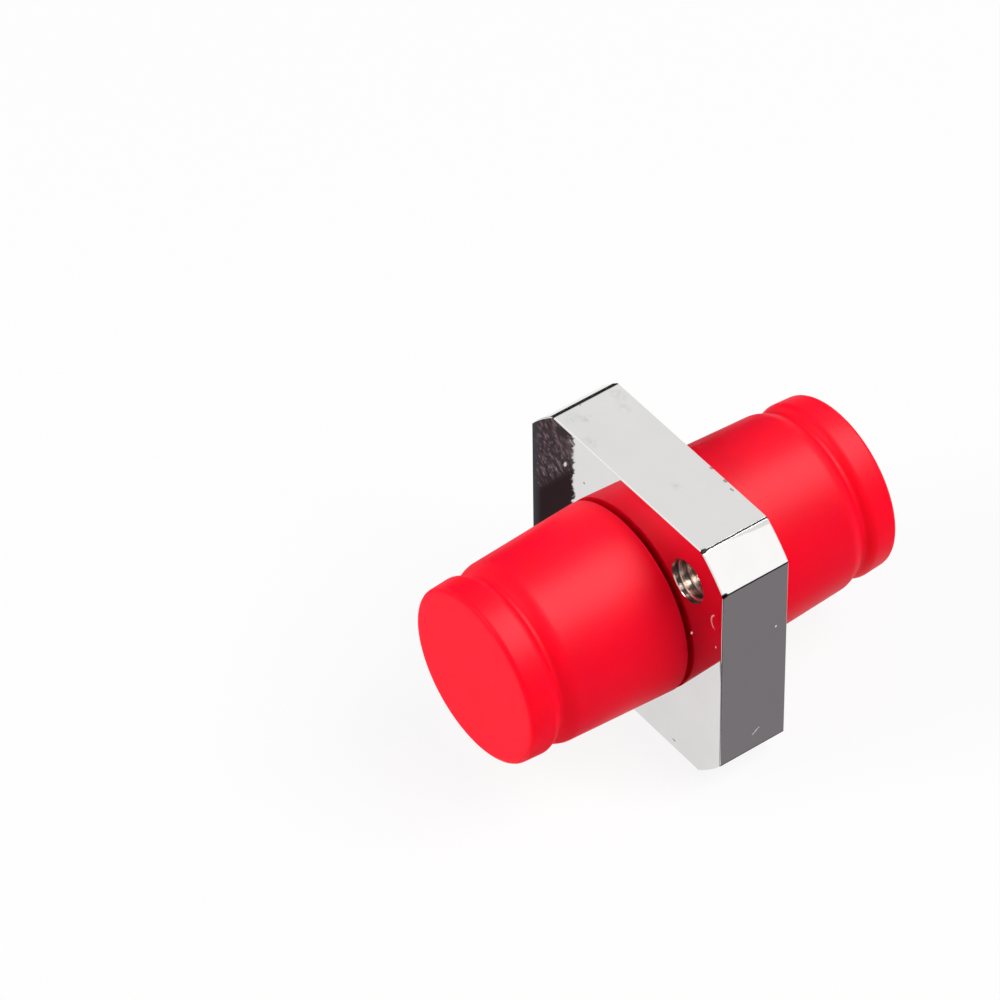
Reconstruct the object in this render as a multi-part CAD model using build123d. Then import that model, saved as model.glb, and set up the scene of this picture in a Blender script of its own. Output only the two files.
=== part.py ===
from build123d import *
import math
import os

os.makedirs("parts", exist_ok=True)

# Adapter that joins two screw-on fibre plugs end to end. One metal body carries a
# square flange and a threaded barrel on each side. A ceramic sleeve inside lines the
# plugs up, a pressed-in bush shuts it in, and a soft cap is pushed over each barrel.
# The light path lies along Y. The front port faces -Y, the key slots face up (+Z),
# and the body stands on one flat of its flange, at Z = 0. All sizes are in mm.

# Flange: a square bar whose corners are turned down to a circle
flange_side = 14.0
flange_thickness = 3.7
corner_cut = 1.585
edge_break = 0.1

# Two screw holes on one diagonal, tapped from the front, counterbored from the rear
screw_circle_dia = 12.6
screw_hole_count = 2
first_screw_angle = 45.0
tap_drill_dia = 2.05
tap_mouth_dia = 2.35
head_bore_dia = 3.9
head_bore_depth = 1.3

# Barrels, with the outside of the M8 x 0.75 thread as a plain cylinder
thread_dia = 8.0
barrel_length = 5.7
barrel_lead = 0.4
relief_dia = 7.0
relief_width = 0.5
port_bore_dia = 6.1
web_thickness = 2.7
port_mouth_chamfer = 0.15

# Key slot through the top of each barrel wall
key_slot_width = 2.15
key_slot_length = 4.6

# Tube in each port that holds the sleeve, with a lip that stops it
holder_dia = 4.7
holder_lip = 0.75
holder_edge_chamfer = 0.15
ferrule_mouth_dia = 2.8
ferrule_mouth_flare = 0.35

# Split ceramic sleeve and the room it floats in
sleeve_dia = 3.2
sleeve_bore_dia = 2.49
sleeve_length = 11.4
sleeve_slot_width = 0.5
sleeve_edge_chamfer = 0.12
sleeve_side_clearance = 0.075
sleeve_end_clearance = 0.1

# Seat in the web that the rear bush is pressed into
bush_seat_dia = 5.2
bush_seat_shoulder = 0.8
bush_lead_chamfer = 0.15

# Soft caps, drafted outside, with a finger grip past a notch
cap_wall = 0.7
cap_fit_clearance = 0.1
cap_rim_gap = 0.17
cap_mouth_chamfer = 0.2
cap_end_clearance = 0.3
cap_draft = 2.85
notch_beyond_step = 0.8
notch_depth = 0.42
notch_cup_run = 0.52
notch_grip_run = 0.36
notch_cup_round = 0.85
grip_length = 1.76
grip_draft = 3.5
grip_end_chamfer = 0.24
grip_end_wall = 1.0
grip_core_dia = 6.6

# Places along the axis, measured from the middle of the flange
face_y = flange_thickness / 2
barrel_end_y = face_y + barrel_length
port_floor_y = web_thickness / 2
bush_seat_y = bush_seat_shoulder - web_thickness / 2
sleeve_room_y = sleeve_length / 2 + sleeve_end_clearance
holder_end_y = sleeve_room_y + holder_lip

# Radii
corner_r = math.hypot(flange_side / 2, flange_side / 2 - corner_cut)
thread_r = thread_dia / 2
relief_r = relief_dia / 2
port_bore_r = port_bore_dia / 2
holder_r = holder_dia / 2
mouth_r = ferrule_mouth_dia / 2
sleeve_room_r = sleeve_dia / 2 + sleeve_side_clearance
bush_seat_r = bush_seat_dia / 2
tap_drill_r = tap_drill_dia / 2
head_bore_r = head_bore_dia / 2

axis_height = Pos(0, 0, flange_side / 2)
cut_past = 1.0


def turned(*corners):
    """Turn a closed outline of (radius, place along the axis, corner rounding) about Y."""
    points = [(radius, along) for radius, along, _ in corners]
    rounds = [rounding for _, _, rounding in corners]
    outline = FilletPolyline(*points, radius=rounds, close=True)
    return revolve(make_face(outline), Axis.Y)


def turned_sharp(*corners):
    """Turn a closed outline of (radius, place along the axis) with sharp corners."""
    return turned(*[(radius, along, 0) for radius, along in corners])


def facing_front(shape):
    """Turn a piece made for the rear port round to the front port."""
    return Rot(0, 0, 180) * shape


def flange():
    """Square block whose corners are turned down about the axis, edges broken."""
    outline = Rectangle(flange_side, flange_side) & Circle(corner_r)
    block = extrude(outline, flange_thickness / 2, both=True)
    return Rot(90, 0, 0) * chamfer(block.edges(), edge_break)


def barrel():
    """Rear barrel as a solid bar, with a thread relief beside the flange."""
    relief_end_y = face_y + relief_width
    return turned_sharp(
        (0, 0),
        (relief_r, 0),
        (relief_r, relief_end_y),
        (thread_r, relief_end_y + thread_r - relief_r),
        (thread_r, barrel_end_y - barrel_lead),
        (thread_r - barrel_lead, barrel_end_y),
        (0, barrel_end_y),
    )


def port_bore():
    """Rear port's bore, from its floor out past the barrel's end."""
    return turned_sharp(
        (0, port_floor_y),
        (port_bore_r, port_floor_y),
        (port_bore_r, barrel_end_y - port_mouth_chamfer),
        (port_bore_r + port_mouth_chamfer + cut_past, barrel_end_y + cut_past),
        (0, barrel_end_y + cut_past),
    )


def key_slot():
    """Rear key slot, open at the barrel's end and round at its inner end."""
    slot_r = key_slot_width / 2
    slot_start_y = barrel_end_y - key_slot_length
    round_end_y = slot_start_y + slot_r
    run = barrel_end_y + cut_past - round_end_y
    slot = Pos(0, round_end_y) * Circle(slot_r)
    slot += Pos(0, round_end_y + run / 2) * Rectangle(key_slot_width, run)
    slot_bottom_z = (holder_r + port_bore_r) / 2
    return Pos(0, 0, slot_bottom_z) * extrude(slot, thread_r)


def holder_tube():
    """Rear sleeve holder from the port's floor to its lipped end."""
    return turned_sharp(
        (sleeve_room_r, port_floor_y),
        (holder_r, port_floor_y),
        (holder_r, holder_end_y - holder_edge_chamfer),
        (holder_r - holder_edge_chamfer, holder_end_y),
        (mouth_r + ferrule_mouth_flare, holder_end_y),
        (mouth_r, holder_end_y - ferrule_mouth_flare),
        (mouth_r, sleeve_room_y),
        (sleeve_room_r, sleeve_room_y),
    )


def screw_hole():
    """One stepped screw hole along the axis, at the middle."""
    mouth_flare = tap_mouth_dia / 2 - tap_drill_r
    return turned_sharp(
        (0, -face_y - cut_past),
        (tap_mouth_dia / 2 + cut_past, -face_y - cut_past),
        (tap_drill_r, -face_y + mouth_flare),
        (tap_drill_r, face_y - head_bore_depth),
        (head_bore_r, face_y - head_bore_depth),
        (head_bore_r, face_y + cut_past),
        (0, face_y + cut_past),
    )


def screw_holes():
    """The screw holes, spread evenly round their circle."""
    holes = []
    for number in range(screw_hole_count):
        angle = math.radians(first_screw_angle + number * 360 / screw_hole_count)
        across = screw_circle_dia / 2 * math.cos(angle)
        up = screw_circle_dia / 2 * math.sin(angle)
        holes.append(Pos(across, 0, up) * screw_hole())
    return holes


def adapter_body():
    """Flange, barrels and web in one piece, with the front sleeve holder."""
    body = flange() + barrel() + facing_front(barrel())
    for port in (port_bore(), facing_front(port_bore())):
        body -= port
    for slot in (key_slot(), mirror(key_slot(), Plane.XZ)):
        body -= slot
    body -= turned_sharp(
        (0, -port_floor_y - cut_past),
        (sleeve_room_r, -port_floor_y - cut_past),
        (sleeve_room_r, bush_seat_y),
        (bush_seat_r, bush_seat_y),
        (bush_seat_r, port_floor_y + cut_past),
        (0, port_floor_y + cut_past),
    )
    for hole in screw_holes():
        body -= hole
    return body + facing_front(holder_tube())


def sleeve_bush():
    """Pressed-in rear bush: a round foot in the web, then the rear sleeve holder."""
    foot = turned_sharp(
        (sleeve_room_r, bush_seat_y),
        (bush_seat_r - bush_lead_chamfer, bush_seat_y),
        (bush_seat_r, bush_seat_y + bush_lead_chamfer),
        (bush_seat_r, port_floor_y),
        (sleeve_room_r, port_floor_y),
    )
    return foot + holder_tube()


def split_sleeve():
    """Thin ceramic tube, slit along its whole underside so that it can spring open."""
    half = sleeve_length / 2
    outer_r = sleeve_dia / 2
    inner_r = sleeve_bore_dia / 2
    tube = turned_sharp(
        (inner_r, -half + sleeve_edge_chamfer),
        (inner_r + sleeve_edge_chamfer, -half),
        (outer_r, -half),
        (outer_r, half),
        (inner_r + sleeve_edge_chamfer, half),
        (inner_r, half - sleeve_edge_chamfer),
    )
    slit = Pos(0, 0, -outer_r) * Box(sleeve_slot_width, 2 * sleeve_length, 2 * outer_r)
    return tube - slit


def dust_cap():
    """Rear cap: a drafted cup over the barrel, a notch, and a cored finger grip."""
    rim_y = face_y + cap_rim_gap
    bore_r = thread_r + cap_fit_clearance
    step_y = barrel_end_y + cap_end_clearance
    notch_y = step_y + notch_beyond_step
    end_y = notch_y + grip_length
    core_end_y = end_y - grip_end_wall
    core_r = grip_core_dia / 2

    def cup_r(along):
        return bore_r + cap_wall - math.tan(math.radians(cap_draft)) * (along - rim_y)

    grip_start_y = notch_y + notch_grip_run
    grip_r = cup_r(grip_start_y)
    grip_end_r = grip_r - math.tan(math.radians(grip_draft)) * (end_y - grip_start_y)
    return turned(
        (bore_r + cap_mouth_chamfer, rim_y, 0),
        (cup_r(rim_y), rim_y, 0),
        (cup_r(notch_y - notch_cup_run), notch_y - notch_cup_run, notch_cup_round),
        (cup_r(notch_y) - notch_depth, notch_y, 0),
        (grip_r, grip_start_y, 0),
        (grip_end_r, end_y - grip_end_chamfer, 0),
        (grip_end_r - grip_end_chamfer, end_y, 0),
        (0, end_y, 0),
        (0, core_end_y, 0),
        (core_r, core_end_y, 0),
        (core_r, step_y, 0),
        (bore_r, step_y, 0),
        (bore_r, rim_y + cap_mouth_chamfer, 0),
    )


pieces = {
    "adapter_body": adapter_body(),
    "sleeve_bush": sleeve_bush(),
    "split_sleeve": split_sleeve(),
    "front_dust_cap": facing_front(dust_cap()),
    "rear_dust_cap": dust_cap(),
}

for name, piece in pieces.items():
    export_step(axis_height * piece, f"parts/{name}.step")
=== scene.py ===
import math

import bmesh
import bpy
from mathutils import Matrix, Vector

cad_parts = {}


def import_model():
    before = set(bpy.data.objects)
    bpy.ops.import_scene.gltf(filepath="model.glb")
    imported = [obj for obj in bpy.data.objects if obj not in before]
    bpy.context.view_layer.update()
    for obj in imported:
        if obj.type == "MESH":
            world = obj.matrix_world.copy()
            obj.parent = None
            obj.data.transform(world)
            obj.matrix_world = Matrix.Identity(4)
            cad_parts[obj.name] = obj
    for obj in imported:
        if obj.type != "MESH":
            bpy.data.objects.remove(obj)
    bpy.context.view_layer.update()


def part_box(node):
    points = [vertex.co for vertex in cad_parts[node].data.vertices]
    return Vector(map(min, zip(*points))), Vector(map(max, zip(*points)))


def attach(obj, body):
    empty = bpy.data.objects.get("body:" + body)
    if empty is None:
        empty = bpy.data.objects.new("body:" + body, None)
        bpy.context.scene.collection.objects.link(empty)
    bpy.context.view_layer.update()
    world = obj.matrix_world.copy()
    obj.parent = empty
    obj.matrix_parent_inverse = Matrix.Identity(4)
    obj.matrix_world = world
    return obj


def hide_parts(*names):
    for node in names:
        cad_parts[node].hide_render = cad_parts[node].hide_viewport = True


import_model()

# Looks of a fibre adapter: a plated square flange with a threaded barrel on each side,
# and a soft red cap pushed over each barrel. Every piece is modelled in millimetres
# about the light path, which lies along Y through the origin, and settle() then brings
# it down to metres and up to its height in the frame.

MM = 0.001

# Sizes read from the frame, in millimetres
body_low, body_high = (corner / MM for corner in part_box("adapter_body"))
cap_low, cap_high = (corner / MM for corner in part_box("rear_dust_cap"))
FLANGE_SIDE = body_high.x - body_low.x
AXIS_HEIGHT = FLANGE_SIDE / 2
BARREL_END = body_high.y
CAP_RIM = cap_low.y
CAP_END = cap_high.y

# Flange
FLANGE_THICKNESS = 3.7
FLANGE_FACE = FLANGE_THICKNESS / 2
CORNER_CUT = 1.585
FLAT = FLANGE_SIDE / 2
ARC_EDGE = FLAT - CORNER_CUT
CORNER_RADIUS = math.hypot(FLAT, ARC_EDGE)
EDGE_ROUND = 0.065

# Screw holes: tapped from the front, counterbored from the rear
SCREW_PLACE = 6.3 / math.sqrt(2)
TAP_DRILL_RADIUS = 1.025
TAP_RADIUS = 1.15
TAP_PITCH = 0.45
TAP_ROOT_WIDTH = 0.4 * TAP_PITCH
TAP_MOUTH = 0.08
HEAD_RADIUS = 1.95
HEAD_DEPTH = 1.3
HEAD_EDGE = 0.07
HEAD_EDGE_ROUND = 0.03

# Barrels and ports
THREAD_RADIUS = 4.0
THREAD_ROOT = 3.54
THREAD_PITCH = 0.75
THREAD_CREST_WIDTH = THREAD_PITCH / 20
THREAD_START_GAP = 0.05
THREAD_END_GAP = 0.01
BARREL_LEAD = 0.4
RELIEF_RADIUS = 3.5
RELIEF_WIDTH = 0.5
PORT_RADIUS = 3.05
PORT_FLOOR = 1.35
PORT_EDGE = 0.15
KEY_SLOT_RADIUS = 1.075
KEY_SLOT_LENGTH = 4.6

# Sleeve, its holder and the bush that shuts it in
HOLDER_RADIUS = 2.35
HOLDER_EDGE = 0.15
FERRULE_MOUTH_RADIUS = 1.4
FERRULE_FLARE = 0.35
SLEEVE_ROOM_RADIUS = 1.675
SLEEVE_ROOM_END = 5.8
HOLDER_END = 6.55
BUSH_SEAT_RADIUS = 2.6
BUSH_SEAT = -0.55
BUSH_LEAD = 0.15
SLEEVE_RADIUS = 1.6
SLEEVE_BORE_RADIUS = 1.245
SLEEVE_HALF = 5.7
SLEEVE_EDGE = 0.12
SLEEVE_END_ROUND = 0.04
SLEEVE_SLOT_WIDTH = 0.5

# Soft caps, with the run of each rounded corner
CAP_BORE_RADIUS = 4.1
CAP_WALL = 0.7
CAP_MOUTH = 0.04
CAP_RIM_ROUND = 0.04
CAP_STEP = BARREL_END + 0.3
CAP_STEP_ROUND = 0.1
SHOULDER_ROUND = 0.38
NOTCH = CAP_STEP + 0.8
NOTCH_CUP_RUN = 0.52
NOTCH_GRIP_RUN = 0.36
NOTCH_DEPTH = 0.42
NOTCH_ROUND = 0.25
CUP_DRAFT = math.tan(math.radians(2.85))
GRIP_DRAFT = math.tan(math.radians(3.5))
GRIP_START_ROUND = 0.24
GRIP_CORE_RADIUS = 3.3
GRIP_CORE_ROUND = 0.15
GRIP_END_WALL = 1.0
GRIP_END_ROUND = 0.23

# Fineness of the meshes
FLANGE_STEPS = 256
ROUND_STEPS = 192
HOLE_STEPS = 96
CORNER_STEPS = 5
SMALL_ROUND = 0.05
SHARP_ANGLE = math.radians(20)
SMOOTH_ANGLE = math.radians(32)
THREAD_FLANK = math.tan(math.radians(30))

# Flat faces are joined where their normals lie this near an axis and each other
FLAT_NORMAL = 0.99999
FLAT_ANGLE = math.radians(0.5)

# Corners nearer than NEAR are one. Cutters reach PAST what they cut, united pieces reach
# OVERLAP into each other, and hidden edges lie INSET from the surface.
NEAR = 0.0003
PAST = 1.0
OVERLAP = 0.05
INSET = 0.2


# Modelling

def named(name):
    """Name the object that was just added."""
    piece = bpy.context.active_object
    piece.name = piece.data.name = name
    return piece


def make_active(piece):
    bpy.ops.object.select_all(action="DESELECT")
    piece.select_set(True)
    bpy.context.view_layer.objects.active = piece


def select(piece, kind, test):
    """Select only those vertices or faces of the piece in edit mode that pass."""
    bpy.ops.mesh.select_mode(type=kind)
    bpy.ops.mesh.select_all(action="DESELECT")
    mesh = bmesh.from_edit_mesh(piece.data)
    for part in {"VERT": mesh.verts, "FACE": mesh.faces}[kind]:
        if test(part):
            part.select_set(True)
    mesh.select_flush_mode()
    bmesh.update_edit_mesh(piece.data)


def drawn(name, corners):
    """Draw an outline of (radius, place along Y, run of its rounding).

    It is closed, unless it starts on the axis. It is left in edit mode.
    """
    bpy.ops.object.select_all(action="DESELECT")
    bpy.ops.mesh.primitive_plane_add(size=1)
    piece = named(name)
    bpy.ops.object.mode_set(mode="EDIT")
    bpy.ops.mesh.select_mode(type="VERT")
    bpy.ops.mesh.merge(type="CENTER")
    places = [Vector((radius, along, 0)) for radius, along, _ in corners]
    bpy.ops.transform.translate(value=places[0])
    for before, after in zip(places, places[1:]):
        bpy.ops.mesh.extrude_vertices_move(TRANSFORM_OT_translate={"value": after - before})
    if places[0].x > 0:
        ends = (places[0], places[-1])
        select(piece, "VERT", lambda corner: any(
            (corner.co - end).length < NEAR for end in ends
        ))
        bpy.ops.mesh.edge_face_add()
    for place, (_, _, run) in zip(places, corners):
        if run:
            select(piece, "VERT", lambda corner: (corner.co - place).length < NEAR)
            bpy.ops.mesh.bevel(offset=run, segments=CORNER_STEPS, affect="VERTICES")
    return piece


def close_up(piece):
    """Merge what meets, turn the faces outwards and leave edit mode."""
    bpy.ops.mesh.select_all(action="SELECT")
    bpy.ops.mesh.remove_doubles(threshold=NEAR)
    bpy.ops.mesh.normals_make_consistent(inside=False)
    bpy.ops.object.mode_set(mode="OBJECT")
    return piece


def turned(name, corners, steps=ROUND_STEPS):
    """Turn an outline about the axis."""
    piece = drawn(name, corners)
    bpy.ops.mesh.select_all(action="SELECT")
    bpy.ops.mesh.spin(steps=steps, angle=math.tau, center=(0, 0, 0), axis=(0, 1, 0))
    return close_up(piece)


def thread_ridge(name, foot, crest, crest_width, pitch, start, end, steps=ROUND_STEPS):
    """Wind a thread's ridge round the axis from start to end, between two radii."""
    half = crest_width / 2
    foot_half = half + (crest - foot) * THREAD_FLANK
    piece = drawn(name, [
        (foot, start - foot_half, 0),
        (crest, start - half, 0),
        (crest, start + half, 0),
        (foot, start + foot_half, 0),
    ])
    bpy.ops.object.mode_set(mode="OBJECT")
    piece.rotation_euler.y = math.pi / steps
    bpy.ops.object.transform_apply(location=False, rotation=True, scale=False)
    bpy.ops.object.modifier_add(type="SCREW")
    screw = piece.modifiers[-1]
    screw.axis = "Y"
    screw.steps = screw.render_steps = steps
    screw.screw_offset = pitch
    screw.iterations = math.ceil((end - start) / pitch)
    bpy.ops.object.modifier_apply(modifier=screw.name)
    bpy.ops.object.mode_set(mode="EDIT")
    bpy.ops.mesh.select_all(action="SELECT")
    bpy.ops.mesh.remove_doubles(threshold=NEAR)
    bpy.ops.mesh.select_all(action="SELECT")
    bpy.ops.mesh.fill_holes(sides=8)
    return close_up(piece)


def combine(piece, operation, *others):
    """Unite the piece with the others, cut them from it or keep what they share.

    The others are used up.
    """
    for other in others:
        make_active(piece)
        bpy.ops.object.modifier_add(type="BOOLEAN")
        boolean = piece.modifiers[-1]
        boolean.operation = operation
        boolean.solver = "EXACT"
        boolean.object = other
        bpy.ops.object.modifier_apply(modifier=boolean.name)
        bpy.data.objects.remove(other)
        bpy.ops.object.mode_set(mode="EDIT")
        bpy.ops.mesh.select_all(action="SELECT")
        bpy.ops.mesh.remove_doubles(threshold=NEAR)
        bpy.ops.object.mode_set(mode="OBJECT")


def moved(piece, place):
    """Move the piece's mesh, and leave its object at the origin."""
    make_active(piece)
    piece.location = place
    bpy.ops.object.transform_apply(location=True, rotation=False, scale=False)
    return piece


def copied_to_front(piece, name):
    """A copy turned half round, from the rear port to the front one."""
    make_active(piece)
    bpy.ops.object.duplicate()
    copy = named(name)
    copy.rotation_euler.z = math.pi
    bpy.ops.object.transform_apply(location=False, rotation=True, scale=False)
    return copy


def settle(piece, body, node, finish):
    make_active(piece)
    bpy.ops.object.shade_smooth_by_angle(angle=SMOOTH_ANGLE)
    bpy.ops.object.modifier_add(type="WEIGHTED_NORMAL")
    piece.modifiers[-1].keep_sharp = True
    bpy.ops.object.modifier_apply(modifier=piece.modifiers[-1].name)
    piece.scale = (MM, MM, MM)
    piece.location.z = AXIS_HEIGHT * MM
    bpy.ops.object.transform_apply(location=True, rotation=False, scale=True)
    piece.data.materials.clear()
    piece.data.materials.append(finish)
    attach(piece, body)
    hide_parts(node)


# Plated body

def flange_block():
    """A round bar cut to four flats, with every edge softly rounded."""
    bpy.ops.object.select_all(action="DESELECT")
    bpy.ops.mesh.primitive_cylinder_add(
        vertices=FLANGE_STEPS, radius=CORNER_RADIUS, depth=FLANGE_THICKNESS,
        rotation=(math.pi / 2, 0, 0),
    )
    block = named("flange_block")
    bpy.ops.object.transform_apply(location=False, rotation=True, scale=False)
    bpy.ops.object.mode_set(mode="EDIT")
    for across, up in ((1, 0), (-1, 0), (0, 1), (0, -1)):
        outwards = Vector((across, 0, up))
        bpy.ops.mesh.select_all(action="SELECT")
        bpy.ops.mesh.bisect(
            plane_co=outwards * FLAT, plane_no=outwards, use_fill=True, clear_outer=True
        )
    bpy.ops.mesh.select_all(action="SELECT")
    bpy.ops.mesh.remove_doubles(threshold=NEAR)
    bpy.ops.mesh.select_mode(type="EDGE")
    bpy.ops.mesh.select_all(action="DESELECT")
    bpy.ops.mesh.edges_select_sharp(sharpness=SHARP_ANGLE)
    bpy.ops.mesh.bevel(offset=EDGE_ROUND, segments=CORNER_STEPS, affect="EDGES")
    bpy.ops.object.mode_set(mode="OBJECT")
    return block


def barrel_core():
    """Both barrels at the thread's root, with the ports, the web and the front holder."""
    relief_end = FLANGE_FACE + RELIEF_WIDTH
    return turned("barrel_core", [
        (SLEEVE_ROOM_RADIUS, -SLEEVE_ROOM_END, 0),
        (FERRULE_MOUTH_RADIUS, -SLEEVE_ROOM_END, 0),
        (FERRULE_MOUTH_RADIUS, FERRULE_FLARE - HOLDER_END, SMALL_ROUND),
        (FERRULE_MOUTH_RADIUS + FERRULE_FLARE, -HOLDER_END, SMALL_ROUND),
        (HOLDER_RADIUS, -HOLDER_END, HOLDER_EDGE),
        (HOLDER_RADIUS, -PORT_FLOOR, 0),
        (PORT_RADIUS, -PORT_FLOOR, 0),
        (PORT_RADIUS, PORT_EDGE - BARREL_END, SMALL_ROUND),
        (PORT_RADIUS + PORT_EDGE, -BARREL_END, SMALL_ROUND),
        (THREAD_ROOT, -BARREL_END, SMALL_ROUND),
        (THREAD_ROOT, -relief_end, 0),
        (RELIEF_RADIUS, -relief_end, 0),
        (RELIEF_RADIUS, relief_end, 0),
        (THREAD_ROOT, relief_end, 0),
        (THREAD_ROOT, BARREL_END, SMALL_ROUND),
        (PORT_RADIUS + PORT_EDGE, BARREL_END, SMALL_ROUND),
        (PORT_RADIUS, BARREL_END - PORT_EDGE, SMALL_ROUND),
        (PORT_RADIUS, PORT_FLOOR, 0),
        (BUSH_SEAT_RADIUS, PORT_FLOOR, SMALL_ROUND),
        (BUSH_SEAT_RADIUS, BUSH_SEAT, 0),
        (SLEEVE_ROOM_RADIUS, BUSH_SEAT, 0),
    ])


def barrel_thread():
    """The rear barrel's thread, ended by the relief and by the lead at its mouth."""
    foot = THREAD_ROOT - OVERLAP
    start = FLANGE_FACE + RELIEF_WIDTH + THREAD_START_GAP
    end = BARREL_END - THREAD_END_GAP
    ridge = thread_ridge(
        "barrel_thread", foot, THREAD_RADIUS + OVERLAP, THREAD_CREST_WIDTH, THREAD_PITCH,
        start - THREAD_PITCH, end + THREAD_PITCH,
    )
    room = turned("thread_room", [
        (foot - INSET, start, 0),
        (foot, start, 0),
        (THREAD_RADIUS, start + THREAD_RADIUS - foot, 0),
        (THREAD_RADIUS, end - BARREL_LEAD, 0),
        (THREAD_RADIUS - BARREL_LEAD, end, 0),
        (foot - INSET, end, 0),
    ])
    combine(ridge, "INTERSECT", room)
    return ridge


def key_slot():
    """A cutter for the rear barrel's key slot, round at its inner end."""
    top = THREAD_RADIUS + PAST
    bottom = (HOLDER_RADIUS + PORT_RADIUS) / 2
    round_end = BARREL_END - KEY_SLOT_LENGTH + KEY_SLOT_RADIUS
    bpy.ops.object.select_all(action="DESELECT")
    bpy.ops.mesh.primitive_cylinder_add(
        vertices=HOLE_STEPS, radius=KEY_SLOT_RADIUS, depth=top - bottom,
        location=(0, round_end, (top + bottom) / 2),
    )
    slot = named("key_slot")
    bpy.ops.object.transform_apply(location=True, rotation=False, scale=False)
    bpy.ops.object.mode_set(mode="EDIT")
    select(slot, "VERT", lambda corner: corner.co.y > round_end + NEAR)
    bpy.ops.transform.translate(value=(0, KEY_SLOT_LENGTH, 0))
    return close_up(slot)


def screw_hole():
    """A cutter for one stepped screw hole."""
    step = FLANGE_FACE - HEAD_DEPTH
    return turned("screw_hole", [
        (0, -FLANGE_FACE - PAST, 0),
        (TAP_DRILL_RADIUS + TAP_MOUTH + PAST, -FLANGE_FACE - PAST, 0),
        (TAP_DRILL_RADIUS, -FLANGE_FACE + TAP_MOUTH, 0),
        (TAP_DRILL_RADIUS, step, 0),
        (HEAD_RADIUS, step, 0),
        (HEAD_RADIUS, FLANGE_FACE - HEAD_EDGE, HEAD_EDGE_ROUND),
        (HEAD_RADIUS + HEAD_EDGE + PAST, FLANGE_FACE + PAST, 0),
        (0, FLANGE_FACE + PAST, 0),
    ], HOLE_STEPS)


def hole_thread():
    """A cutter for the thread inside one screw hole."""
    return thread_ridge(
        "hole_thread", TAP_DRILL_RADIUS - OVERLAP, TAP_RADIUS, TAP_ROOT_WIDTH, TAP_PITCH,
        -FLANGE_FACE - TAP_PITCH, FLANGE_FACE - HEAD_DEPTH + TAP_PITCH / 2, HOLE_STEPS,
    )


def plated_body():
    """Flange, barrels, web and front holder, all one piece."""
    body = flange_block()
    body.name = body.data.name = "plated_body"
    middle = turned("middle", [
        (0, -FLANGE_FACE - PAST, 0),
        (RELIEF_RADIUS - INSET, -FLANGE_FACE - PAST, 0),
        (RELIEF_RADIUS - INSET, FLANGE_FACE + PAST, 0),
        (0, FLANGE_FACE + PAST, 0),
    ])
    thread = barrel_thread()
    front_thread = copied_to_front(thread, "front_thread")
    core = barrel_core()
    combine(core, "UNION", thread, front_thread)
    slot = key_slot()
    combine(core, "DIFFERENCE", copied_to_front(slot, "front_slot"), slot)
    combine(body, "DIFFERENCE", middle)
    for side in (1, -1):
        place = (side * SCREW_PLACE, 0, side * SCREW_PLACE)
        combine(body, "DIFFERENCE", moved(screw_hole(), place), moved(hole_thread(), place))
    combine(body, "UNION", core)

    # Join the flat faces that the cuts have split
    bpy.ops.object.mode_set(mode="EDIT")
    select(body, "FACE", lambda face: max(abs(part) for part in face.normal) > FLAT_NORMAL)
    bpy.ops.mesh.dissolve_limited(angle_limit=FLAT_ANGLE)
    bpy.ops.object.mode_set(mode="OBJECT")
    return body


# Bush, sleeve and caps

def turned_bush():
    """The pressed-in rear bush: a foot in the web, then the rear sleeve holder."""
    return turned("turned_bush", [
        (SLEEVE_ROOM_RADIUS, BUSH_SEAT, 0),
        (BUSH_SEAT_RADIUS, BUSH_SEAT, BUSH_LEAD),
        (BUSH_SEAT_RADIUS, PORT_FLOOR, SMALL_ROUND),
        (HOLDER_RADIUS, PORT_FLOOR, 0),
        (HOLDER_RADIUS, HOLDER_END, HOLDER_EDGE),
        (FERRULE_MOUTH_RADIUS + FERRULE_FLARE, HOLDER_END, SMALL_ROUND),
        (FERRULE_MOUTH_RADIUS, HOLDER_END - FERRULE_FLARE, SMALL_ROUND),
        (FERRULE_MOUTH_RADIUS, SLEEVE_ROOM_END, 0),
        (SLEEVE_ROOM_RADIUS, SLEEVE_ROOM_END, 0),
    ], HOLE_STEPS)


def ceramic_sleeve():
    """A thin tube with softly rounded ends, slit along its underside."""
    sleeve = turned("ceramic_sleeve", [
        (SLEEVE_BORE_RADIUS, -SLEEVE_HALF, SLEEVE_EDGE),
        (SLEEVE_RADIUS, -SLEEVE_HALF, SLEEVE_END_ROUND),
        (SLEEVE_RADIUS, SLEEVE_HALF, SLEEVE_END_ROUND),
        (SLEEVE_BORE_RADIUS, SLEEVE_HALF, SLEEVE_EDGE),
    ], HOLE_STEPS)
    bpy.ops.object.select_all(action="DESELECT")
    bpy.ops.mesh.primitive_cube_add(
        size=1, location=(0, 0, -SLEEVE_RADIUS),
        scale=(SLEEVE_SLOT_WIDTH, 4 * SLEEVE_HALF, 2 * SLEEVE_RADIUS),
    )
    combine(sleeve, "DIFFERENCE", named("slit"))
    return sleeve


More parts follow.
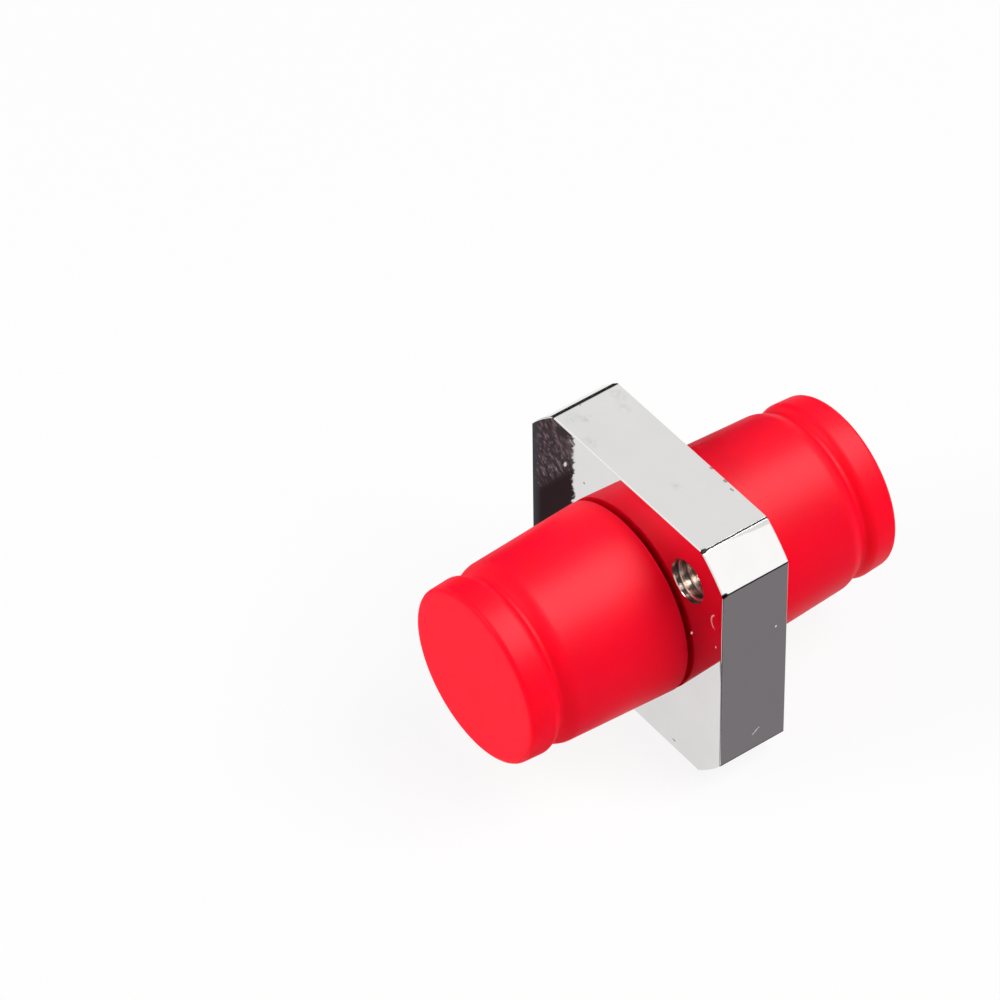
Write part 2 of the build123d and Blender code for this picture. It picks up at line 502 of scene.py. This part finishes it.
def cap_shell():
    """The rear cap: a drafted cup, a notch, and a cored finger grip."""
    def cup_radius(along):
        return CAP_BORE_RADIUS + CAP_WALL - CUP_DRAFT * (along - CAP_RIM)

    shoulder = NOTCH - NOTCH_CUP_RUN
    grip_start = NOTCH + NOTCH_GRIP_RUN
    grip_end_radius = cup_radius(grip_start) - GRIP_DRAFT * (CAP_END - grip_start)
    core_end = CAP_END - GRIP_END_WALL
    return turned("rear_cap_shell", [
        (0, core_end, 0),
        (GRIP_CORE_RADIUS, core_end, GRIP_CORE_ROUND),
        (GRIP_CORE_RADIUS, CAP_STEP, SMALL_ROUND),
        (CAP_BORE_RADIUS, CAP_STEP, CAP_STEP_ROUND),
        (CAP_BORE_RADIUS, CAP_RIM, CAP_MOUTH),
        (cup_radius(CAP_RIM), CAP_RIM, CAP_RIM_ROUND),
        (cup_radius(shoulder), shoulder, SHOULDER_ROUND),
        (cup_radius(NOTCH) - NOTCH_DEPTH, NOTCH, NOTCH_ROUND),
        (cup_radius(grip_start), grip_start, GRIP_START_ROUND),
        (grip_end_radius, CAP_END, GRIP_END_ROUND),
        (grip_end_radius - 2 * GRIP_END_ROUND, CAP_END, 0),
        (0, CAP_END, 0),
    ])


# Materials

# Marks on the plating, and wedges of painted dark reflection, each with its centre and reach
# in millimetres about the axis, and some with a turn in radians
# Painted dark reflections where the upper right arc meets the top and the right face at the
# front
DARK_REFLECTION_WEDGES = (
    ((5.44, -1.74, 7.0), (0.17, 0.30, 0.14)),
    ((7.0, -1.78, 5.44), (0.14, 0.26, 0.16)),
)
DARK_NICKS = (
    ((1.50, 1.78, 7.0), (0.12, 0.09, 0.08)),
    ((2.53, 1.76, 7.0), (0.13, 0.10, 0.08)),
    ((3.14, 1.64, 7.0), (0.16, 0.06, 0.08)),
    ((-5.29, -0.40, 7.0), (0.07, 0.06, 0.08)),
    ((-3.09, -1.85, 4.66), (0.07, 0.10, 0.07)),
    ((-3.94, -1.85, 6.54), (0.20, 0.12, 0.10)),
    ((3.63, -1.85, -6.49), (0.14, 0.10, 0.07)),
)
PALE_NICKS = (
    ((4.80, -1.85, 1.43), (0.07, 0.15, 0.15), (0, 0.5, 0)),
    ((7.0, 1.21, 1.76), (0.05, 0.06, 0.07)),
    ((7.0, 0.17, -4.36), (0.05, 0.30, 0.035), (0.6, 0, 0)),
    ((6.55, -1.85, 1.95), (0.05, 0.15, 0.06)),
)
SMUDGES = (
    ((-4.75, -1.15, 7.0), (0.50, 0.55, 0.3)),
    ((-4.35, -0.75, 7.0), (0.35, 0.45, 0.3)),
    ((-3.10, -1.55, 7.0), (0.55, 0.40, 0.3)),
    ((-4.00, 1.05, 7.0), (0.60, 0.40, 0.3)),
    ((1.51, -0.21, 7.0), (0.45, 0.25, 0.3)),
    ((-4.80, 1.40, 7.0), (0.80, 0.40, 0.3)),
)
CURL_CENTRE = (6.62, -1.85, 3.42)
CURL_REACH = (0.42, 9.0, 0.48)
CURL_SHOWN = ((6.30, -1.85, 3.42), (0.32, 0.15, 0.55))

# Painted dark reflections, drawn as lines along the edges where an arc meets a flat: across,
# up and reach
DARK_REFLECTION_LINES = (
    (ARC_EDGE + 0.015, FLAT - 0.01, 0.082),
    (FLAT, ARC_EDGE, 0.055),
    (-ARC_EDGE, FLAT, 0.12),
    (FLAT, -ARC_EDGE, 0.07),
    (-ARC_EDGE, -FLAT, 0.07),
    (-FLAT, -ARC_EDGE, 0.07),
    (ARC_EDGE, -FLAT, 0.07),
    (-FLAT, ARC_EDGE, 0.07),
)
LINE_REACH = 40

# Radii inside which a screw hole is tarnished, and outside which it is a thread's root
TARNISH_RADIUS = TAP_RADIUS + 0.015
ROOT_RADIUS = 1.11
BORE_REACH = 400

# Colours, where there are two the lighter one first
# Black of the painted dark reflections along the arc edges, and of the worn nicks
REFLECTION_AND_WEAR_BLACK = (0.006, 0.0055, 0.006, 1)
NICK_PALE = (0.95, 0.94, 0.92, 1)
TARNISH = ((0.88, 0.78, 0.71, 1), (0.50, 0.40, 0.34, 1))
# Painted shade in the roots of the tapped threads
ROOT_SHADE_BROWN = (0.10, 0.075, 0.065, 1)
TURNED_METAL = ((0.70, 0.68, 0.64, 1), (0.62, 0.60, 0.56, 1))
CERAMIC = ((0.86, 0.85, 0.81, 1), (0.80, 0.79, 0.75, 1))
RED_VINYL = ((0.98, 0.0, 0.020, 1), (0.94, 0.0, 0.016, 1))


def add_node(tree, kind, inputs=None, **settings):
    """Add a shader node, with each input set to a value or joined to an output."""
    node = tree.nodes.new(kind)
    for name, value in settings.items():
        setattr(node, name, value)
    for name, value in (inputs or {}).items():
        if isinstance(value, bpy.types.NodeSocket):
            tree.links.new(value, node.inputs[name])
        else:
            node.inputs[name].default_value = value
    return node


def mapped(tree, place, kind="POINT", **inputs):
    """Move, turn and scale a place."""
    node = add_node(tree, "ShaderNodeMapping", {"Vector": place, **inputs}, vector_type=kind)
    return node.outputs["Vector"]


def object_place(tree, location=(0, 0, 0)):
    """The place on the object in millimetres, shifted by a location."""
    place = add_node(tree, "ShaderNodeTexCoord").outputs["Object"]
    return mapped(tree, place, Scale=(1 / MM,) * 3, Location=location)


def split(tree, place):
    """The three parts of a place, by the names X, Y and Z."""
    return add_node(tree, "ShaderNodeSeparateXYZ", {"Vector": place}).outputs


def new_material(name):
    """A material and its node tree."""
    material = bpy.data.materials.new(name)
    material.use_nodes = True
    return material, material.node_tree


def finish_material(name):
    """A material, its node tree, its main shader, and its place about the axis."""
    material, tree = new_material(name)
    place = object_place(tree, (0, 0, -AXIS_HEIGHT))
    return material, tree, tree.nodes["Principled BSDF"], place


def ranged(tree, value, low, high, to_low, to_high):
    """Map a value from one range to another, clamped."""
    return add_node(tree, "ShaderNodeMapRange", {
        "Value": value, "From Min": low, "From Max": high, "To Min": to_low, "To Max": to_high,
    }).outputs["Result"]


def maths(tree, operation, first, second=0):
    """One mathematical step on two numbers, each a value or an output."""
    node = add_node(tree, "ShaderNodeMath", {0: first, 1: second}, operation=operation)
    return node.outputs[0]


def product(tree, first, second):
    return maths(tree, "MULTIPLY", first, second)


def vector_maths(tree, operation, first, second=(0, 0, 0)):
    """One step on two vectors, each a value or an output."""
    node = add_node(tree, "ShaderNodeVectorMath", {0: first, 1: second}, operation=operation)
    return node.outputs["Value" if operation == "LENGTH" else "Vector"]


def noise(tree, place, scale, detail=3.0):
    return add_node(tree, "ShaderNodeTexNoise", {
        "Vector": place, "Scale": scale, "Detail": detail,
    }).outputs["Fac"]


def mixed(tree, share, first, second):
    """Blend two colours, each a value or an output."""
    mix = add_node(tree, "ShaderNodeMix", {0: share, 6: first, 7: second}, data_type="RGBA")
    return mix.outputs[2]


def any_of(tree, masks):
    """The strongest of several masks."""
    strongest = masks[0]
    for mask in masks[1:]:
        strongest = maths(tree, "MAXIMUM", strongest, mask)
    return strongest


def spot(tree, place, centre, reach, turn=(0, 0, 0), rim=0.3):
    """One inside an ellipsoid about a place, in millimetres, falling to nothing at its rim."""
    about = mapped(tree, place, "TEXTURE", Location=centre, Rotation=turn, Scale=reach)
    return ranged(tree, vector_maths(tree, "LENGTH", about), 1 - rim, 1, 1, 0)


def spots(tree, place, marks, rim=0.3):
    """One inside any of several marks."""
    return any_of(tree, [spot(tree, place, *mark, rim=rim) for mark in marks])


def ragged_place(tree, place, fineness, amount):
    """The place pushed about by noise, so that marks get uneven rims."""
    cloud = add_node(tree, "ShaderNodeTexNoise", {
        "Vector": place, "Scale": fineness, "Detail": 4.0,
    })
    push = vector_maths(tree, "SUBTRACT", cloud.outputs["Color"], (0.5, 0.5, 0.5))
    push = vector_maths(tree, "MULTIPLY", push, (amount,) * 3)
    return vector_maths(tree, "ADD", place, push)


def bumped(tree, shader, height, strength, depth):
    """Raise the shader's surface by a height map, with its depth in millimetres."""
    bump = add_node(tree, "ShaderNodeBump", {
        "Height": height, "Strength": strength, "Distance": depth * MM,
    })
    tree.links.new(bump.outputs["Normal"], shader.inputs["Normal"])


def inside_screw_holes(tree, place, radius, rim):
    """One within a radius of either screw hole's own axis."""
    return spots(tree, place, [
        ((side * SCREW_PLACE, 0, side * SCREW_PLACE), (radius, BORE_REACH, radius))
        for side in (1, -1)
    ], rim)


def pale_marks(tree, place, rough_place):
    """Pale nicks, a scratch, and a curl that is part of a thin ring."""
    about = mapped(tree, place, "TEXTURE", Location=CURL_CENTRE, Scale=CURL_REACH)
    off_ring = maths(tree, "SUBTRACT", vector_maths(tree, "LENGTH", about), 1.0)
    ring = ranged(tree, maths(tree, "ABSOLUTE", off_ring), 0.05, 0.12, 0.45, 0)
    curl = product(tree, ring, spot(tree, place, *CURL_SHOWN))
    return any_of(tree, [curl, spots(tree, rough_place, PALE_NICKS)])


def plating():
    """Bright plating with faint smudges, painted dark reflections along the arc edges, nicks,
    and dull tapped holes with painted shade in their thread roots.
    """
    material, tree, shader, place = finish_material("bright_plating")
    rough_place = ragged_place(tree, place, 6.0, 0.12)
    wavy_place = ragged_place(tree, place, 2.0, 0.03)
    along = split(tree, place)["Y"]
    cloud = noise(tree, place, 0.45, 5)

    # Painted dark reflections along the edges where the arcs meet the flats
    reflection_line = spots(tree, wavy_place, [
        ((across, 0, up), (reach, LINE_REACH, reach)) for across, up, reach in DARK_REFLECTION_LINES
    ], rim=0.5)
    # Painted dark reflections at the front ends of the upper right arc's edges
    reflection_wedges = spots(tree, rough_place, DARK_REFLECTION_WEDGES)
    nicks = spots(tree, rough_place, DARK_NICKS)
    # Painted dark reflections along the arc edges and at their front corners, with the real
    # dark nicks
    dark = any_of(tree, [reflection_line, reflection_wedges, product(tree, nicks, 0.6)])
    pale = pale_marks(tree, place, rough_place)
    mottle = ranged(tree, noise(tree, place, 3.0, 5), 0.42, 0.62, 0, 1)
    smudge = product(tree, spots(tree, rough_place, SMUDGES, rim=0.9), mottle)

    # The tapped holes are duller and browner inside, with painted shade darkest in the
    # thread's roots
    behind_face = ranged(tree, along, 0.004 - FLANGE_FACE, 0.012 - FLANGE_FACE, 0, 1)
    bores = product(tree, inside_screw_holes(tree, place, TARNISH_RADIUS, 0.02), behind_face)
    shaded_roots = maths(tree, "SUBTRACT", 1, inside_screw_holes(tree, place, ROOT_RADIUS, 0.03))

    # The turned barrels are a little duller than the flange
    barrels = ranged(
        tree, maths(tree, "ABSOLUTE", along), FLANGE_FACE + 0.02, FLANGE_FACE + 0.1, 0, 1
    )

    shade = ranged(tree, cloud, 0.3, 0.8, 0.735, 0.705)
    shade = maths(tree, "SUBTRACT", shade, product(tree, smudge, 0.11))
    colour = add_node(tree, "ShaderNodeCombineColor", {
        "Red": shade, "Green": product(tree, shade, 0.992), "Blue": product(tree, shade, 0.98),
    }).outputs["Color"]
    tarnish = mixed(tree, noise(tree, place, 9.0, 4), *TARNISH)
    # Painted shade in the thread's roots
    tarnish = mixed(tree, product(tree, shaded_roots, 0.75), tarnish, ROOT_SHADE_BROWN)
    colour = mixed(tree, bores, colour, tarnish)
    # Paint the dark reflections and the nicks black
    colour = mixed(tree, dark, colour, REFLECTION_AND_WEAR_BLACK)
    colour = mixed(tree, product(tree, pale, 0.8), colour, NICK_PALE)
    tree.links.new(colour, shader.inputs["Base Color"])
    tree.links.new(ranged(tree, pale, 0, 1, 1, 0.2), shader.inputs["Metallic"])

    roughness = ranged(tree, cloud, 0.35, 0.75, 0.012, 0.035)
    for mask, amount in (
        (smudge, 0.10), (dark, 0.35), (pale, 0.4), (bores, 0.20), (barrels, 0.13)
    ):
        roughness = maths(tree, "ADD", roughness, product(tree, mask, amount))
    tree.links.new(roughness, shader.inputs["Roughness"])

    ripple = product(tree, noise(tree, place, 1.1, 1), 0.2)
    height = maths(tree, "SUBTRACT", ripple, any_of(tree, [reflection_wedges, nicks, pale]))
    bumped(tree, shader, height, 0.12, 0.02)
    return material


def turned_metal():
    """Plated metal with the fine rings that a lathe tool leaves."""
    material, tree, shader, place = finish_material("turned_metal")
    rings = noise(tree, mapped(tree, place, Scale=(0.02, 12.0, 0.02)), 1.0, 3)
    colour = mixed(tree, noise(tree, place, 0.8), *TURNED_METAL)
    tree.links.new(colour, shader.inputs["Base Color"])
    tree.links.new(ranged(tree, rings, 0.3, 0.7, 0.14, 0.26), shader.inputs["Roughness"])
    shader.inputs["Metallic"].default_value = 1.0
    bumped(tree, shader, rings, 0.2, 0.01)
    return material


def ceramic():
    """White ground ceramic, faintly cloudy and satin."""
    material, tree, shader, place = finish_material("white_ceramic")
    cloud = noise(tree, place, 1.5)
    colour = mixed(tree, cloud, *CERAMIC)
    tree.links.new(colour, shader.inputs["Base Color"])
    tree.links.new(ranged(tree, cloud, 0.3, 0.7, 0.22, 0.32), shader.inputs["Roughness"])
    bumped(tree, shader, noise(tree, place, 25.0, 2), 0.15, 0.004)
    return material


def vinyl():
    """Soft red vinyl with an even satin skin, which lets some light through."""
    material, tree, shader, place = finish_material("red_vinyl")
    colour = mixed(tree, noise(tree, place, 0.5), *RED_VINYL)
    tree.links.new(colour, shader.inputs["Base Color"])
    grain = noise(tree, place, 14.0, 3)
    tree.links.new(ranged(tree, grain, 0.3, 0.7, 0.43, 0.49), shader.inputs["Roughness"])
    shader.inputs["Specular IOR Level"].default_value = 0.08
    shader.inputs["Subsurface Weight"].default_value = 0.8
    shader.inputs["Subsurface Radius"].default_value = (1.0, 0.03, 0.05)
    shader.inputs["Subsurface Scale"].default_value = 1.0 * MM
    bumped(tree, shader, grain, 0.1, 0.006)
    return material


# The pieces, each in place of its plain solid

bright_plating = plating()
red_vinyl = vinyl()
body = plated_body()
bush = turned_bush()
sleeve = ceramic_sleeve()
rear_cap = cap_shell()
front_cap = copied_to_front(rear_cap, "front_cap_shell")
for piece, body_name, node_name, finish, slot_name in (
    (body, "adapter", "adapter_body", bright_plating, "plated_metal"),
    (bush, "adapter", "sleeve_bush", turned_metal(), "bush_metal"),
    (sleeve, "adapter", "split_sleeve", ceramic(), "zirconia"),
    (front_cap, "front_cap", "front_dust_cap", red_vinyl, "red_vinyl"),
    (rear_cap, "rear_cap", "rear_dust_cap", red_vinyl, "red_vinyl"),
):
    settle(piece, body_name, node_name, finish)


# Studio. Places of the cards are in millimetres, and those of lamps and camera in metres.

# The dark cloth: how far its hem lies from the middle, how its hem and its strokes are
# turned, where its left part ends, and how far along from the middle its far part begins
HEM = 0.92
HEM_TURN = math.radians(37.2)
STROKE_TURN = 0.31
LEFT_PART_ENDS = (-14.1, -13.5)
FAR_PART_BEGINS = (2.45, 2.75)
CLOTH_LEFT = (0.060, 0.044, 0.050, 1)
CLOTH_RIGHT = (0.036, 0.020, 0.023, 1)
CLOTH_FAR = (0.063, 0.063, 0.071, 1)
STROKE_BROWN = (0.26, 0.17, 0.195, 1)
FLECK_PALE = (0.62, 0.50, 0.54, 1)
BRIGHT_FLECK = (1, 0.95, 0.95, 1)
BRIGHT_FLECK_PLACE = ((-14.11, -9.07, 0), (0.17, 0.07, 9), (0, 0, HEM_TURN))

# How far above the floor the flat cards lie, how high the overhead ones hang, and how far
# out the upright ones stand
CARD_HEIGHT = 0.1
OVERHEAD = 300
SIDE = 100

FLOOR_SIZE = 1.2
FLOOR_SHARE = 0.89
FLOOR_GREY = (0.72, 0.72, 0.72, 1)
WHITE = (1, 1, 1, 1)
AMBIENT = 0.18

# The camera, with its turns in degrees and its lens and sensor in millimetres
CAMERA_PLACE = (0.160107, -0.125411, 0.211263)
CAMERA_TURNS = (45.5727, 0.6835, 53.2607)
LENS_LENGTH = 228.99
SENSOR_WIDTH = 36


def linked(name, data, place=(0, 0, 0)):
    """A new object at a place, linked to the scene."""
    made = bpy.data.objects.new(name, data)
    bpy.context.scene.collection.objects.link(made)
    made.location = place
    return made


def first_seen(tree):
    """One for rays that no matt surface has scattered yet, so that cards add no light."""
    path = tree.nodes.new("ShaderNodeLightPath").outputs
    return maths(tree, "LESS_THAN", path["Diffuse Depth"], 0.5)


def seen_directly(tree):
    """One for rays of the camera, of mirrors and of glass, and nothing for the rest."""
    path = tree.nodes.new("ShaderNodeLightPath").outputs
    seen = maths(tree, "MAXIMUM", path["Is Camera Ray"], path["Is Glossy Ray"])
    return maths(tree, "MAXIMUM", seen, path["Is Transmission Ray"])


def emitter(name):
    """A material without a shader yet, its node tree and its output."""
    material, tree = new_material(name)
    tree.nodes.clear()
    return material, tree, tree.nodes.new("ShaderNodeOutputMaterial").inputs["Surface"]


def glow(tree, colour):
    """A card's own glow in a colour, given as a value or an output."""
    return add_node(tree, "ShaderNodeEmission", {
        "Color": colour, "Strength": first_seen(tree),
    }).outputs[0]


def glowing(name, red, green, blue):
    """An even glow."""
    material, tree, surface = emitter(name)
    tree.links.new(glow(tree, (red, green, blue, 1)), surface)
    return material


def card(name, corners, finish):
    """A flat card that only reflections see."""
    mesh = bpy.data.meshes.new(name)
    mesh.from_pydata([Vector(corner) * MM for corner in corners], [], [range(len(corners))])
    made = linked(name, mesh)
    made.data.materials.append(finish)
    made.visible_camera = made.visible_diffuse = made.visible_shadow = False


def floor_card(name, corners, finish):
    """A card that lies just above the floor."""
    card(name, [(across, along, CARD_HEIGHT) for across, along in corners], finish)


def side_card(name, across, along, up, finish):
    """An upright card at one side, given its ranges along Y and upwards."""
    (start, end), (low, high) = along, up
    card(name, [(across, start, low), (across, end, low),
                (across, end, high), (across, start, high)], finish)


def overhead_card(name, across, along, finish):
    """A level card overhead, given its ranges along X and Y."""
    (left, right), (start, end) = across, along
    card(name, [(left, start, OVERHEAD), (right, start, OVERHEAD),
                (right, end, OVERHEAD), (left, end, OVERHEAD)], finish)


def dark_cloth():
    """A nearly black cloth with brown strokes and a ragged hem, seen in the flange's face."""
    material, tree, surface = emitter("dark_cloth")
    place = object_place(tree)
    across = split(tree, place)["X"]
    along = split(tree, mapped(tree, place, Rotation=(0, 0, -HEM_TURN)))["Y"]
    tatters = product(tree, maths(tree, "SUBTRACT", noise(tree, place, 5.5, 6), 0.5), 0.55)
    cover = ranged(tree, maths(tree, "ADD", along, tatters), HEM - 0.03, HEM + 0.03, 0, 1)

    stroke_place = mapped(tree, place, Rotation=(0, 0, -STROKE_TURN))
    stroke_place = mapped(tree, stroke_place, Scale=(1.5, 8.5, 1))
    lit_part = product(tree, ranged(tree, across, *LEFT_PART_ENDS, 1, 0),
                       ranged(tree, along, *FAR_PART_BEGINS, 1, 0.15))
    strokes = ranged(tree, noise(tree, stroke_place, 1.0, 3), 0.50, 0.64, 0, 1)
    strokes = product(tree, product(tree, strokes, lit_part), 0.8)
    flecks = ranged(tree, noise(tree, stroke_place, 1.7, 2), 0.64, 0.72, 0, 1)
    flecks = product(tree, product(tree, flecks, lit_part), 0.7)

    colour = mixed(tree, ranged(tree, across, -14.3, -13.3, 0, 1), CLOTH_LEFT, CLOTH_RIGHT)
    for share, layer in (
        (ranged(tree, along, *FAR_PART_BEGINS, 0, 1), CLOTH_FAR),
        (strokes, STROKE_BROWN),
        (flecks, FLECK_PALE),
        (spot(tree, place, *BRIGHT_FLECK_PLACE), BRIGHT_FLECK),
    ):
        colour = mixed(tree, share, colour, layer)
    clear = tree.nodes.new("ShaderNodeBsdfTransparent").outputs[0]
    mix = add_node(tree, "ShaderNodeMixShader", {0: cover, 1: clear, 2: glow(tree, colour)})
    tree.links.new(mix.outputs[0], surface)
    return material


def floor():
    """A pale floor, white to the eye and in reflections, that keeps a soft shadow."""
    bpy.ops.object.select_all(action="DESELECT")
    bpy.ops.mesh.primitive_plane_add(size=FLOOR_SIZE)
    made = named("floor")
    material, tree = new_material("pale_floor")
    paper = tree.nodes["Principled BSDF"]
    paper.inputs["Base Color"].default_value = FLOOR_GREY
    paper.inputs["Roughness"].default_value = 0.9
    paper.inputs["Specular IOR Level"].default_value = 0.0
    white = add_node(tree, "ShaderNodeEmission", {"Color": WHITE, "Strength": 1.0})
    seen = product(tree, seen_directly(tree), first_seen(tree))
    mix = add_node(tree, "ShaderNodeMixShader", {
        0: product(tree, seen, FLOOR_SHARE), 1: paper.outputs[0], 2: white.outputs[0],
    })
    tree.links.new(mix.outputs[0], tree.nodes["Material Output"].inputs["Surface"])
    made.data.materials.append(material)


def world():
    """White to the eye and in reflections, and a plain level of light for the rest."""
    made = bpy.data.worlds.new("studio")
    bpy.context.scene.world = made
    made.use_nodes = True
    tree = made.node_tree
    back = tree.nodes["Background"]
    back.inputs["Color"].default_value = WHITE
    strength = ranged(tree, seen_directly(tree), 0, 1, AMBIENT, 1.0)
    tree.links.new(strength, back.inputs["Strength"])


def lamp(name, place, size, power):
    """A soft square lamp, aimed at the middle of the object."""
    light = bpy.data.lights.new(name, "AREA")
    light.size = size
    light.energy = power
    made = linked(name, light, place)
    aim = Vector((0, 0, AXIS_HEIGHT * MM)) - made.location
    made.rotation_euler = aim.to_track_quat("-Z", "Y").to_euler()
    return made


def camera():
    """A long lens at the photograph's viewing angle."""
    lens = bpy.data.cameras.new("camera")
    lens.lens = LENS_LENGTH
    lens.sensor_width = SENSOR_WIDTH
    lens.clip_start = 0.01
    made = linked("camera", lens, CAMERA_PLACE)
    made.rotation_euler = [math.radians(turn) for turn in CAMERA_TURNS]
    bpy.context.scene.camera = made


floor()
world()
camera()
lamp("front_lamp", place=(-0.14, -0.375, 0.245), size=0.20, power=1.6)
rear_lamp = lamp("rear_lamp", place=(0.21, 0.16, 0.40), size=0.30, power=2.2)
rear_lamp.visible_glossy = False

black = glowing("black_card", 0.03, 0.03, 0.03)
dim = glowing("dim_card", 0.13, 0.13, 0.13)
grey = glowing("grey_card", 0.243, 0.226, 0.240)

# On the floor, seen in the flange's right face and by the lower right sides of the caps
floor_card("right_card", [(7.2, -1.9), (30, -12), (90, -12), (90, 70), (7.2, 12)], grey)
floor_card("front_right_card", [
    (8.4, -2.6), (8.4, -9.9), (6, -40), (90, -40), (90, -12.2), (30, -12.2),
], black)
floor_card("under_card", [(7.0, -2.1), (-2.5, -9.2), (8.2, -9.8)], grey)

# On the floor, seen in the flange's front face
floor_card("left_card", [
    (-24.2, -17.7), (-7.5, -5.0), (-14.4, 4.1), (-31.1, -8.6),
], dark_cloth())

# Round the sides, seen by the right and left sides of the caps
side_card("right_horizon", SIDE, (-20, 120), (0, 44), dim)
side_card("left_horizon", -SIDE, (10, 90), (0, 22), black)
side_card("left_wall", -SIDE, (10, 95), (22, 62), black)
floor_card("far_left_card", [
    (-29, 5), (-60, 2), (-100, 10), (-100, 60), (-29, 28),
], black)

# Highlights on the flange's upper right arc, along the caps, and on the top's front edge
card("bright_card", [(120, 40, 60), (160, 120, 60), (160, 120, 200), (120, 40, 200)],
     glowing("bright_card", 1.31, 1.31, 1.30))
overhead_card("band_card", (-70, 225), (40, 260), glowing("band_card", 20.0, 20.0, 20.0))
overhead_card("edge_card", (-280, -170), (-150, -40), glowing("edge_card", 1.8, 1.8, 1.8))
bpy.context.scene.view_settings.view_transform = "Standard"
